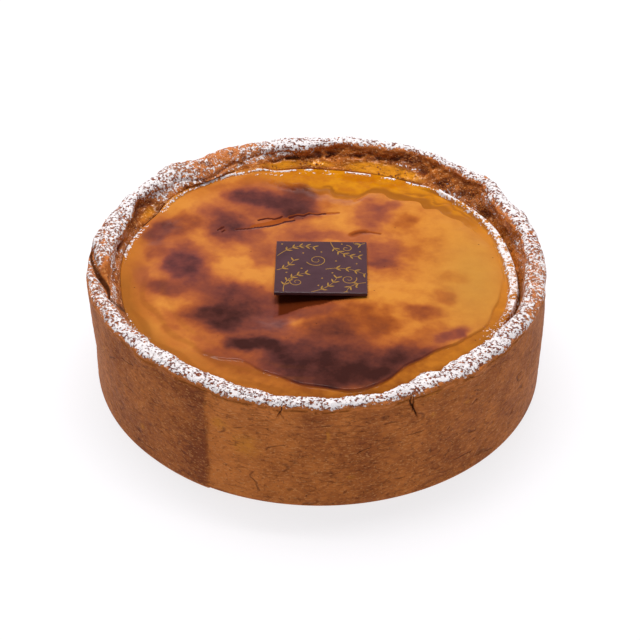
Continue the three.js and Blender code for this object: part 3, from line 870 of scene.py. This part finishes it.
# The plaque's painted shadow, over the pooled glaze.
pool_and_shadow_edge = POOL_AND_SHADOW["low"] + POOL_AND_SHADOW["slope"] * (x - POOL_AND_SHADOW["left"]) + 0.5 * warp_y
pool = rise(y - pool_and_shadow_edge, -0.5, 0.5) * rise(x, POOL_AND_SHADOW["left"] - 0.4, POOL_AND_SHADOW["left"] + 0.4)
pool = pool * (x < POOL_AND_SHADOW["right"]) * (y < 0)
lip = groove_at(place)
wobble = 0.5 * cloud(grid, 12, 2)
bead_width = 0.75 - 0.25 * span(place, 100, 140, 8)
bead_line = fade(inwards - 1.1 - wobble, bead_width) * span(place, *BEADED)
bead_gaps = rise(cloud(grid + 40, 7, 2) + 0.6 * span(place, 112, 150, 8), -0.25, 0.1)
second_line = fade(inwards - 3.8 - 1.6 * wobble, 0.5) * span(place, *BEADED_TWICE)
second_gaps = rise(cloud(grid + 90, 4, 2), -0.05, 0.2)
heights = heights + 0.5 * bead_line * bead_gaps + 0.4 * second_line * second_gaps
streaks = span(place, *STREAKED) * rise(inwards, 1, 4) * (1 - rise(inwards, 14, 24))
streaks = streaks * rise(np.sin(inwards * 0.8 + 0.04 * y + 2.5 * cloud(grid + 160, 18, 2)), 0, 0.9)
folds = span(place, *FOLDED) * rise(past, -0.2, 0.4) * (1 - rise(past, 6, 12)) * rise(inwards, 1, 4)
fold_wave = np.sin(past * 0.75 + 0.1 * x + 2.8 * cloud(grid, 11, 2))
folded = fade(past - 3 - 2.6 * cloud(grid + 80, 8, 2), 2.8)
heights = heights + folds * (0.25 * fold_wave - 0.2 * folded)
skin_grain = cloud(grid, 9) * 0.13 + cloud(grid, 3) * 0.03
heights = heights + skin_grain * rise(inwards, 1.5, 6) * (1 - 0.5 * amber) * on_top
from_groove = inwards - lip_width("groove", place) + 0.7 * cloud(grid + 30, 3, 2)
from_inner = from_groove - lip_width("top", place) - 0.8 * cloud(grid + 60, 4, 2)
lip_sugar = 0.62 * lip * rise(from_groove, -0.5, 0.2) * (1 - rise(from_inner, -0.5, 0.8))
lip_sugar = lip_sugar * (0.95 + 0.35 * cloud(grid + 20, 5, 2))
ledge_cloud = cloud(grid + 120, 2.5, 2)
ledge_sugar = (0.6 + 0.3 * ledge_cloud) * span(place, *SUGARED_LEDGE)
ledge_sugar = ledge_sugar * (1 - rise(inwards + 1.3 * ledge_cloud, 1, 2.6))
# Painted highlights: sugar white laid along the glaze beads.
bead_highlight = (0.76 - 0.2 * span(place, 131, 150, 4)) * bead_line * bead_gaps + 0.6 * second_line * second_gaps
dust_reach = 1.6 + forms(place, DUST_REACH)
dust = 0.3 * (1 - rise(inwards, 0.3, dust_reach)) * span(place, *DUSTED)
sugar_and_bead_highlights = np.maximum(np.maximum(lip_sugar, ledge_sugar), np.maximum(bead_highlight, dust))
custard_numbers = {
    "toast": toast,
    "violet": violet / weight,
    "bright": bright,
    "amber": amber,
    "front": 0.5 - 0.5 * np.sin(np.radians(place + 20)),
    "fold": np.maximum(0.6 * streaks, folds * np.maximum(folded, 0.8 - 0.8 * rise(fold_wave, -0.95, -0.35))),
    "rim_shade": (1 - rise(inwards, 0, 9)) * span(place, *SHADED) * (1 - lip),
    "pale": fade(np.hypot((x - 68) / 17, (y + 4) / 40), 1) * (1 - amber),
    "split": split,
    "split_dark": split_dark,
    "pool": pool * (1 - amber),
    # Real sugar on the lip, the ledge and along the crust, and painted highlights in sugar white on the
    # beads.
    "sugar": np.clip(sugar_and_bead_highlights, 0, 1) * (inwards > -0.5),
    # Painted shade: the groove beyond the lip is darkened.
    "groove": lip * rise(-from_groove, -0.2, 0.5),
}
foot = BASE_THICKNESS + FIT_GAP
middle = float(top_height(np.zeros(1), np.zeros(1))[0])
custard_mesh = turned("custard_glazed", radii, heights, custard_angles, foot, middle, custard_numbers)
custard = placed("custard_glazed", custard_mesh)

# Colours of the skin as the oven browns it, from none (0) to most (1): a warm brown, and a violet one.
TONE_DEPTHS = (0.0, 0.15, 0.3, 0.5, 0.7, 0.87, 1.0)
BROWN_TONES = (
    (230, 150, 60), (216, 132, 52), (194, 108, 44), (163, 84, 38), (130, 66, 40), (96, 51, 38),
    (70, 38, 31),
)
VIOLET_TONES = (
    (228, 146, 72), (212, 127, 68), (190, 106, 68), (160, 85, 67), (128, 70, 66), (98, 57, 58),
    (74, 43, 42),
)
SEED_CELLS = 6  # vanilla seeds lie about this far apart
TOP_LIGHT = 1.26  # the light that the table and the lamps throw on the custard
GLOSS_VEIL = 0.0105  # the white room mirrored in its glaze


def seen(red, green, blue):
    """The surface colour of the custard that looks so on a screen, 0 to 255, in this light."""
    light = (light_of(red, green, blue) - GLOSS_VEIL) / TOP_LIGHT
    return (*np.clip(light, 0.002, 1).tolist(), 1.0)


def glazed_custard():
    finish = Finish("glazed_custard")
    where = finish.place()
    numbers = {label: finish.number(label) for label in custard_numbers}
    clouds = finish.noise(where, 7, 3.0, 0.55)
    mottle = finish.noise(where, 2.4, 3.0, 0.55)
    uneven = (clouds - 0.5) * 0.5 + (mottle - 0.5) * 0.12
    depth = numbers["toast"] + uneven - numbers["bright"] * 0.16 + 0.1
    ramps = []
    for tones in (BROWN_TONES, VIOLET_TONES):
        stops = [(at, seen(*tone)) for at, tone in zip(TONE_DEPTHS, tones)]
        ramps.append(finish.add("ShaderNodeValToRGB", {"stops": stops}, {0: depth}))
    brown, lilac = ramps
    front, fold, toast = numbers["front"], numbers["fold"], numbers["toast"]
    amber_front = finish.blend((clouds - 0.5) * 3.5 + 0.5, seen(142, 74, 20), seen(194, 116, 42))
    amber_back = finish.blend((clouds - 0.5) * 3 + 0.5, seen(198, 114, 8), seen(226, 146, 22))
    amber_back = finish.blend(fold.rise(0.1, 0.8) * 0.95, amber_back, seen(164, 96, 4))
    amber = finish.blend(front, amber_back, amber_front)
    cells, draw = (
        finish.add("ShaderNodeTexVoronoi", {}, {"Vector": where, "Scale": 1 / (SEED_CELLS * MM)}, output)
        for output in ("Distance", "Color")
    )
    red = finish.add("ShaderNodeSeparateColor", {}, {0: draw}, 0)
    seeds = (1 - cells.rise(0.03, 0.08)) * (red - 0.62).rise(0, 0.1)
    film = sugar_film(finish, where, numbers["sugar"])
    colour = finish.layers(
        finish.blend(numbers["violet"], brown, lilac),
        (numbers["pale"] * 0.7 * (1 - toast.rise(0, 0.5)), seen(206, 148, 66)),
        (numbers["amber"] * (1 - toast.rise(0.2, 0.75)), amber),
        (fold * front * 0.6, seen(150, 86, 24)),
        (numbers["rim_shade"] * 0.55, seen(140, 84, 24)),
        (numbers["split"].rise(0.2, 0.6) * 0.85, seen(168, 82, 20)),
        # Painted shade inside the splits.
        ((numbers["split_dark"] * (0.7 + clouds * 0.6)).rise(0.35, 0.85), seen(84, 36, 20)),
        # Painted shadow of the plaque, on the pooled glaze.
        (numbers["pool"], seen(96, 46, 26)),
        # Painted shade in the groove beyond the lip.
        (numbers["groove"] * 0.85, seen(92, 48, 34)),
        (seeds * 0.75, seen(84, 48, 34)),
        (film, SUGAR_WHITE),
    )
    relief = (mottle - 0.5) * 0.04 + film * 0.18
    roughness = 0.42 + film * 0.45
    return finish.shell(
        colour, roughness, 0.05, relief, Coat_Weight=1 - film, Coat_Roughness=0.05, Coat_IOR=1.36
    )


custard_mesh.materials.append(glazed_custard())
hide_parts("custard")
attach(custard, "root")

# ---- Icing sugar ----
# Icing sugar was sifted over the cooled flan and has caked into small lumps on the rim and on the
# custard's lip. They stand on the film of sugar that the materials of both show.


class Scatter(Tree):
    """A Geometry Nodes tree that lays small lumps on a surface; its inputs have these names."""

    def __init__(self, name, inputs):
        self.group = bpy.data.node_groups.new(name, "GeometryNodeTree")
        super().__init__(self.group)
        sockets = self.group.interface
        sockets.new_socket("Lumps", in_out="OUTPUT", socket_type="NodeSocketGeometry")
        sockets.new_socket("Surface", in_out="INPUT", socket_type="NodeSocketGeometry")
        self.ids = {}
        for label, kind in inputs.items():
            self.ids[label] = sockets.new_socket(label, in_out="INPUT", socket_type=kind).identifier
        self.start = self.nodes.new("NodeGroupInput")

    def input(self, label):
        return Value(self, self.start.outputs[label])

    def any_vector(self, low, high, seed):
        sockets = {0: (low, low, low), 1: (high, high, high), "Seed": seed}
        return self.add("FunctionNodeRandomValue", {"data_type": "FLOAT_VECTOR"}, sockets, 0)

    def end(self, lumps):
        out = self.nodes.new("NodeGroupOutput")
        self.links.new(lumps.socket, out.inputs[0])


FULL_TURN = 6.28  # radians
LUMP_INPUTS = {
    "Share": "NodeSocketString", "For each square metre": "NodeSocketFloat", "Smallest": "NodeSocketFloat",
    "Largest": "NodeSocketFloat", "Seed": "NodeSocketInt",
}


def lump_tree(name, material, on_film, roundness):
    """Lumps where the surface's number called Share is high; on_film keeps them to the film of sugar."""
    tree = Scatter(name, LUMP_INPUTS)
    seed = tree.input("Seed")
    share = tree.add("GeometryNodeInputNamedAttribute", {"data_type": "FLOAT"}, {"Name": tree.input("Share")})
    where = tree.add("GeometryNodeInputPosition", {}, {})
    density = share * tree.input("For each square metre")
    sockets = {"Mesh": tree.input("Surface"), "Density": density, "Seed": seed}
    points = tree.add("GeometryNodeDistributePointsOnFaces", {"distribute_method": "RANDOM"}, sockets)
    if on_film:
        bare = 0.5 - sugar_film(tree, where, share)
        sockets = {"Geometry": points, "Selection": bare}
        points = tree.add("GeometryNodeDeleteGeometry", {"domain": "POINT"}, sockets)
    sockets = {2: tree.input("Smallest"), 3: tree.input("Largest"), "Seed": seed}
    size = tree.add("FunctionNodeRandomValue", {"data_type": "FLOAT"}, sockets, 1)
    squash = tree.any_vector(roundness, 1, seed + 1)
    scale = tree.add("ShaderNodeVectorMath", {"operation": "SCALE"}, {0: squash, "Scale": size})
    turn = tree.any_vector(0, FULL_TURN, seed + 2)
    lump = tree.add("GeometryNodeMeshIcoSphere", {}, {"Radius": 0.5, "Subdivisions": 1})
    sockets = {"Points": points, "Instance": lump, "Rotation": turn, "Scale": scale}
    lumps = tree.add("GeometryNodeInstanceOnPoints", {}, sockets)
    lumps = tree.add("GeometryNodeRealizeInstances", {}, {"Geometry": lumps})
    lumps = tree.add("GeometryNodeSetMaterial", {}, {"Geometry": lumps, "Material": material})
    tree.end(lumps)
    return tree


def scattered(name, tree, surface, values):
    """A plain piece made by the tree on a surface."""
    holder = placed(name, surface.data)
    modifier = holder.modifiers.new(name, "NODES")
    modifier.node_group = tree.group
    for label, value in values.items():
        modifier[tree.ids[label]] = value
    ready = holder.evaluated_get(bpy.context.evaluated_depsgraph_get())
    mesh = bpy.data.meshes.new_from_object(ready)
    bpy.data.objects.remove(holder)
    mesh.shade_smooth()
    piece = placed(name, mesh)
    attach(piece, "root")
    return piece


def icing_sugar():
    finish = Finish("icing_sugar")
    dust = finish.noise(finish.place(), 0.3)
    colour = finish.blend(dust, shade(230, 227, 232), shade(250, 248, 252))
    return finish.shell(colour, 0.9, 0.1, dust, 0.05)


sugar_tree = lump_tree("sugar_lumps", icing_sugar(), True, 0.6)
SUGAR_LUMPS = {"Share": "sugar", "For each square metre": 1.4e6, "Smallest": 0.25 * MM, "Largest": 0.5 * MM}
scattered("sugar_on_rim", sugar_tree, crust, {**SUGAR_LUMPS, "Seed": 4})
scattered("sugar_on_custard", sugar_tree, custard, {**SUGAR_LUMPS, "Seed": 9})

# ---- Pastry crumbs ----
# The torn inner face of the crust has shed crumbs, which stick to it and lie in its hollows.


def crumb_brown():
    finish = Finish("crumb_brown")
    where = finish.place()
    tone = finish.noise(where, 1.5)
    colour = finish.blend((tone - 0.5) * 2.5 + 0.5, shade(118, 50, 14), shade(214, 134, 62))
    return finish.shell(colour, 0.5 + tone * 0.2, 0.2, finish.noise(where, 0.4), 0.12)


crumb_tree = lump_tree("crumbs", crumb_brown(), False, 0.45)
CRUMBS = {"Share": "crumbly", "For each square metre": 0.7e6, "Smallest": 0.5 * MM, "Largest": 1.6 * MM}
scattered("pastry_crumbs", crumb_tree, crust, {**CRUMBS, "Seed": 2})

# ---- Chocolate plaque ----
# A thin square of dark chocolate, cast on a printed transfer sheet, so that its upper side is smooth and
# satin. It lies on the custard's skin, a little lifted at the front, and carries a print of sprigs in
# edible gold.
PLAQUE_SIDE = 40
PLAQUE_THICKNESS = 1.6
PLAQUE_AT = (1, 0.8, CUSTARD_LEVEL + 1.2)  # the middle of its underside
PLAQUE_TURN = -0.4
PLAQUE_LEAN = 2
PRINT_THICKNESS = 0.03
PRINT_EDGE = PLAQUE_SIDE / 2 - 0.6  # the print is trimmed this far from the middle
# Stems of the sprigs: start, bend and tip, from the middle of the plaque, and how many pairs of leaves.
STEMS = (
    ((-19.4, 8), (-12, 19), (-3, 15), 5), ((-16, -19.4), (-17, -8), (-6, -5), 5),
    ((4, 19.4), (6, 9), (17, 8), 5), ((2, -2), (11, 1), (19.4, -6), 4),
    ((-4, -19.4), (5, -16), (7, -8), 4), ((-19.4, -3), (-14, -1), (-12, 5), 3),
    ((19.4, -12), (12, -13), (11, -19.4), 3), ((19.4, 19), (15, 16), (14, 19.4), 1),
)
LEAF = {"length": 2.9, "width": 0.7, "lean": 0.75}
# Curls: the middle, the outer radius, and where each starts and how far it winds, in degrees.
CURLS = (
    ((-2, 5), 4.6, 200, 560), ((12, -9.5), 3.6, 20, -520), ((-10.5, -12), 3.2, 120, 480),
    ((11, 14.5), 2.6, 90, -430),
)
DOT_RADIUS = 0.42
DOTS = (
    (-8, 10.5), (-15.5, 14.5), (0, 11.5), (6.5, 4.5), (15.5, 2.5), (17, 12), (-8.5, -1.5), (-15, -4.8),
    (0.5, -9), (-1, -14.5), (15.5, -15.5), (5, -4.8), (-17.5, 17.5), (9, 18),
)


def dark_chocolate():
    finish = Finish("dark_chocolate")
    where = finish.place()
    clouds = finish.noise(where, 6)
    colour = finish.blend(clouds, shade(62, 36, 42), shade(80, 49, 56))
    return finish.shell(colour, 0.3 + clouds * 0.1, 0.5, finish.noise(where, 3), 0.03)


def edible_gold():
    finish = Finish("edible_gold")
    flecks = finish.noise(finish.place(), 0.5)
    colour = finish.blend(flecks, shade(184, 132, 52), shade(238, 186, 92))
    return finish.shell(colour, 0.36 + flecks * 0.16, 0.5, Metallic=0.7)


def heading(turn):
    return np.stack([np.cos(turn), np.sin(turn)], -1)


def bend(start, middle, tip, share):
    """A place on the arc from start to tip that leans towards middle."""
    start, middle, tip = np.array(start, float), np.array(middle, float), np.array(tip, float)
    share = np.asarray(share)[:, None]
    return start * (1 - share) ** 2 + 2 * middle * share * (1 - share) + tip * share**2


def stroke(path, widths):
    """The outline of a stroke of the print along a path."""
    way = np.gradient(path, axis=0)
    way = way / np.linalg.norm(way, axis=1, keepdims=True)
    side = np.stack([-way[:, 1], way[:, 0]], 1) * np.asarray(widths)[:, None] / 2
    return np.concatenate([path + side, (path - side)[::-1]])


def leaf(at, angle, length, width):
    share = np.linspace(0, 1, 7)
    along = heading(angle) * share[:, None] * length
    return stroke(np.array(at) + along, width * np.sin(np.pi * share) ** 0.8 + 0.03)


def print_shapes():
    shapes = []
    for start, middle, tip, pairs in STEMS:
        path = bend(start, middle, tip, np.linspace(0, 1, 20))
        shapes.append(stroke(path, np.linspace(0.36, 0.18, 20)))
        places = bend(start, middle, tip, np.linspace(0.25, 0.95, pairs))
        ahead = bend(start, middle, tip, np.linspace(0.27, 0.97, pairs))
        for place, next_place in zip(places, ahead):
            way = np.arctan2(*(next_place - place)[::-1])
            for lean in (LEAF["lean"], -LEAF["lean"]):
                shapes.append(leaf(place, way + lean, LEAF["length"], LEAF["width"]))
    for middle, radius, start, winds in CURLS:
        share = np.linspace(0, 1, 40)
        turn = np.radians(start + winds * share)
        reach = radius * (1 - 0.86 * share)
        path = np.array(middle) + heading(turn) * reach[:, None]
        shapes.append(stroke(path, 0.4 - 0.2 * share))
    for at in DOTS:
        turn = np.radians(np.arange(0, 360, 45))
        shapes.append(np.array(at) + DOT_RADIUS * heading(turn))
    return shapes


def gold_print():
    """Every shape of the print as a thin slab on top of the plaque, trimmed at its edge."""
    spin = Matrix.Rotation(-np.radians(PLAQUE_LEAN), 4, "X")
    spin = spin @ Matrix.Rotation(np.radians(PLAQUE_TURN), 4, "Z")
    points, faces = [], []
    for outline in print_shapes():
        outline = np.clip(outline, -PRINT_EDGE, PRINT_EDGE)
        count = len(outline)
        first = len(points)
        for level in (PLAQUE_THICKNESS - PRINT_THICKNESS, PLAQUE_THICKNESS + PRINT_THICKNESS):
            points += [(spin @ Vector((u, v, level)) + Vector(PLAQUE_AT)) * MM for u, v in outline.tolist()]
        half = count // 2
        for i in range(half - 1):
            a, b, c, d = i, i + 1, count - 2 - i, count - 1 - i
            faces.append([first + p for p in (a, b, c, d)])
            faces.append([first + count + p for p in (d, c, b, a)])
        for i in range(count):
            j = (i + 1) % count
            faces.append([first + i, first + count + i, first + count + j, first + j])
    mesh = bpy.data.meshes.new("gold_print")
    mesh.from_pydata([tuple(p) for p in points], [], faces)
    mesh.materials.append(edible_gold())
    return mesh


plaque = frame["nodes"]["chocolate_plaque"]
plaque.data.materials.clear()
plaque.data.materials.append(dark_chocolate())
print_piece = placed("gold_print", gold_print())
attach(print_piece, "root")

# ---- Studio ----
# A white table that glows a little, a white room that is darker overhead, a wide soft light above the
# back, and a narrow one whose mirror image draws the fine highlights on the glaze.


def white_table():
    finish = Finish("white_table")
    glow = finish.add("ShaderNodeEmission", {}, {"Color": shade(255, 254, 255), "Strength": 0.78})
    paint = finish.add("ShaderNodeBsdfDiffuse", {}, {"Color": shade(129, 127, 130)})
    return finish.end(finish.add("ShaderNodeAddShader", {}, {0: glow, 1: paint}))


TABLE_HALF = 3.0  # metres
corners = [(-1, -1, 0), (1, -1, 0), (1, 1, 0), (-1, 1, 0)]
table_mesh = bpy.data.meshes.new("table")
table_mesh.from_pydata([(x * TABLE_HALF, y * TABLE_HALF, z) for x, y, z in corners], [], [(0, 1, 2, 3)])
table_mesh.materials.append(white_table())
table = placed("table", table_mesh)


def white_room():
    """Walls of even white that darken towards the ceiling."""
    world = bpy.data.worlds.new("white_room")
    world.use_nodes = True
    tree = Tree(world.node_tree)
    where = tree.add("ShaderNodeTexCoord", {}, {}, "Generated")
    up = tree.add("ShaderNodeSeparateXYZ", {}, {0: where}, 2)
    strength = up.rise(0.25, 0.5, 0.62, 0.17)
    light = tree.add("ShaderNodeBackground", {}, {"Color": (0.94, 0.93, 1.0, 1), "Strength": strength})
    out = tree.nodes.new("ShaderNodeOutputWorld")
    tree.links.new(light.socket, out.inputs["Surface"])
    return world


bpy.context.scene.world = white_room()


def softbox(name, at, width, height, watts, mirrored):
    data = bpy.data.lights.new(name, "AREA")
    data.shape = "RECTANGLE"
    data.size = width
    data.size_y = height
    data.energy = watts
    light = placed(name, data)
    light.location = at
    light.rotation_euler = (Vector((0, 0, 0.03)) - Vector(at)).to_track_quat("-Z", "Y").to_euler()
    light.visible_camera = False
    light.visible_glossy = mirrored


softbox("overhead", (-0.1, 0.45, 1.3), 1.2, 0.8, 19, False)
softbox("strip", (0.05, 0.3, 1.3), 0.9, 0.1, 5, True)

# ---- Camera ----
# It looks down at the flan as the photograph does. EYE_AIM is the point of the flan that it looks at, and
# AIM_PIXEL where that point shows in a picture of PICTURE pixels a side.
EYE_AIM = Vector((0, 0, 26.5)) * MM
EYE_AWAY = 850 * MM
EYE_ELEVATION = np.radians(37.3)
EYE_ROLL = np.radians(0.47)
PICTURE = 640
FOCAL_PIXELS = 1917
AIM_PIXEL = (318.5, 310.2)
SENSOR = 36

lens = bpy.data.cameras.new("eye")
lens.sensor_width = SENSOR
lens.lens = FOCAL_PIXELS * SENSOR / PICTURE
lens.shift_x = (PICTURE / 2 - AIM_PIXEL[0]) / PICTURE
lens.shift_y = (AIM_PIXEL[1] - PICTURE / 2) / PICTURE
eye = placed("eye", lens)
eye.location = EYE_AIM + EYE_AWAY * Vector((0, -np.cos(EYE_ELEVATION), np.sin(EYE_ELEVATION)))
aim = (EYE_AIM - eye.location).to_track_quat("-Z", "Y").to_matrix().to_4x4()
eye.rotation_euler = (aim @ Matrix.Rotation(EYE_ROLL, 4, "Z")).to_euler()
bpy.context.scene.camera = eye
bpy.context.scene.view_settings.view_transform = "Standard"
